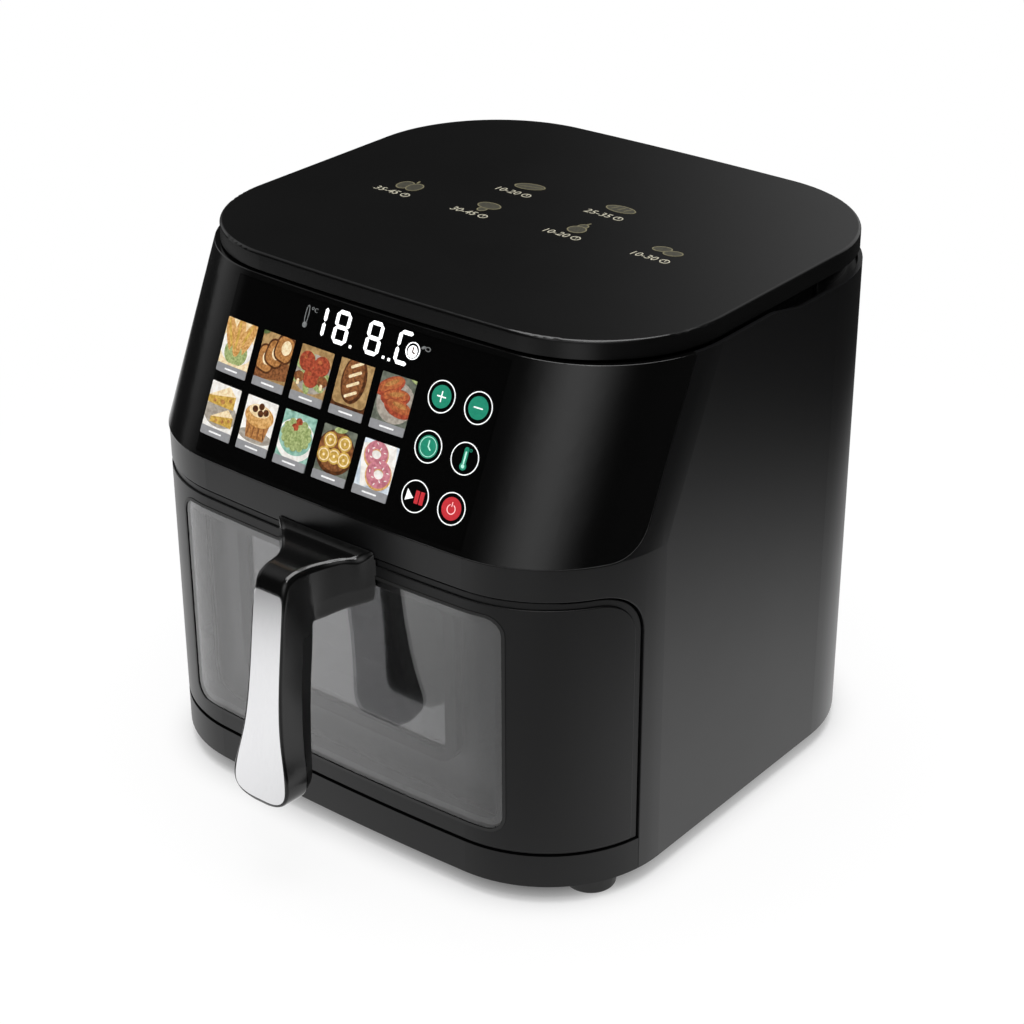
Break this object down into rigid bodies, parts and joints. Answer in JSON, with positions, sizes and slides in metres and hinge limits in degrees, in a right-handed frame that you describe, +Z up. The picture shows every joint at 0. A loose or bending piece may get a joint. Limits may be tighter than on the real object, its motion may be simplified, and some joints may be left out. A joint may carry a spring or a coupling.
{
  "type": "air fryer",
  "caption": "Countertop air fryer with a sloped touch fascia, a flat lid and a pull-out windowed drawer with a flared drop handle, crisper plate, heater and fan inside.",
  "frame": {"origin": "on the floor, under the middle of the overall box including the handle", "axes": "+Z up, -Y towards the user, X across the front"},
  "size_m": [0.3154, 0.3685, 0.3],
  "materials": {
    "satin_black_shell": "satin moulded black",
    "gloss_black_fascia": "high gloss black",
    "touch_glass_black": "polished black touch panel",
    "satin_black_lid": "smooth satin black",
    "window_glass": "clear polished",
    "black_gasket": "matt black",
    "gloss_black_handle": "polished black",
    "matte_black_handle": "fine matt black",
    "brushed_aluminium": "brushed",
    "foot_rubber": "matt black",
    "chamber_steel": "bright sheet",
    "nonstick_black": "non-stick coating",
    "silicone_black": "matt silicone",
    "heater_steel": "oxidised tube",
    "plated_steel": "zinc plated",
    "copper_winding": "enamelled copper",
    "bronze_bush": "sintered bronze",
    "board_laminate": "solder resist",
    "component_plastic": "moulded",
    "white_plastic": "moulded",
    "screw_steel": "plated"
  },
  "bodies": {
    "housing": {"outer_shell": "satin_black_shell", "control_fascia": "gloss_black_fascia", "touch_panel": "touch_glass_black", "top_cover": "satin_black_lid", "lid_screws": "screw_steel", "base_tray": "satin_black_shell", "base_screws": "screw_steel", "feet": "foot_rubber", "rear_grille": "satin_black_shell", "cord_gland": "matte_black_handle", "chamber_liner": "chamber_steel", "heat_dome": "chamber_steel", "dome_screws": "screw_steel", "heater_guard": "chamber_steel", "heater_coil": "heater_steel", "heater_supports": "chamber_steel", "temperature_sensor": "plated_steel", "thermostat": "component_plastic", "motor_deck": "plated_steel", "deck_screws": "screw_steel", "motor_standoffs": "plated_steel", "motor_screws": "screw_steel", "motor_core": "plated_steel", "motor_winding": "copper_winding", "bearing_bridges": "plated_steel", "motor_bearings": "bronze_bush", "exhaust_duct": "component_plastic", "control_board": "board_laminate", "display_module": "white_plastic", "board_screws": "screw_steel", "power_board": "board_laminate", "power_standoffs": "white_plastic", "power_components": "component_plastic", "interlock_switch": "component_plastic"},
    "drawer": {"drawer_front": "satin_black_shell", "drawer_inner_cover": "satin_black_shell", "cover_screws": "screw_steel", "drawer_basket": "nonstick_black", "basket_screws": "screw_steel", "window_gasket": "black_gasket", "window_outer_glass": "window_glass", "window_inner_glass": "window_glass", "inner_glass_frame": "plated_steel", "handle_front": "gloss_black_handle", "handle_rear": "matte_black_handle", "handle_insert": "brushed_aluminium", "handle_screws": "screw_steel"},
    "crisper": {"crisper_plate": "nonstick_black", "crisper_bumpers": "silicone_black"},
    "fan_rotor": {"motor_shaft": "plated_steel", "motor_rotor": "plated_steel", "convection_fan": "plated_steel", "fan_nut": "screw_steel", "cooling_fan": "component_plastic"},
    "plunger": {"interlock_plunger": "white_plastic"}
  },
  "joints": [
    {"name": "drawer_slide", "type": "slide", "parent": "housing", "child": "drawer", "axis": [0, -1, 0], "range_m": [0, 0.25]},
    {"name": "crisper_lift", "type": "slide", "parent": "drawer", "child": "crisper", "axis": [0, 0, 1], "range_m": [0, 0.12]},
    {"name": "fan_spin", "type": "hinge", "parent": "housing", "child": "fan_rotor", "pos_m": [0, 0.043, 0.24], "axis": [0, 0, 1], "continuous": true},
    {"name": "interlock_travel", "type": "slide", "parent": "housing", "child": "plunger", "axis": [0, -1, 0], "range_m": [0, 0.003]}
  ],
  "couplings": [
    {"joint": "interlock_travel", "follows": "drawer_slide", "ratio": 0.012}
  ]
}
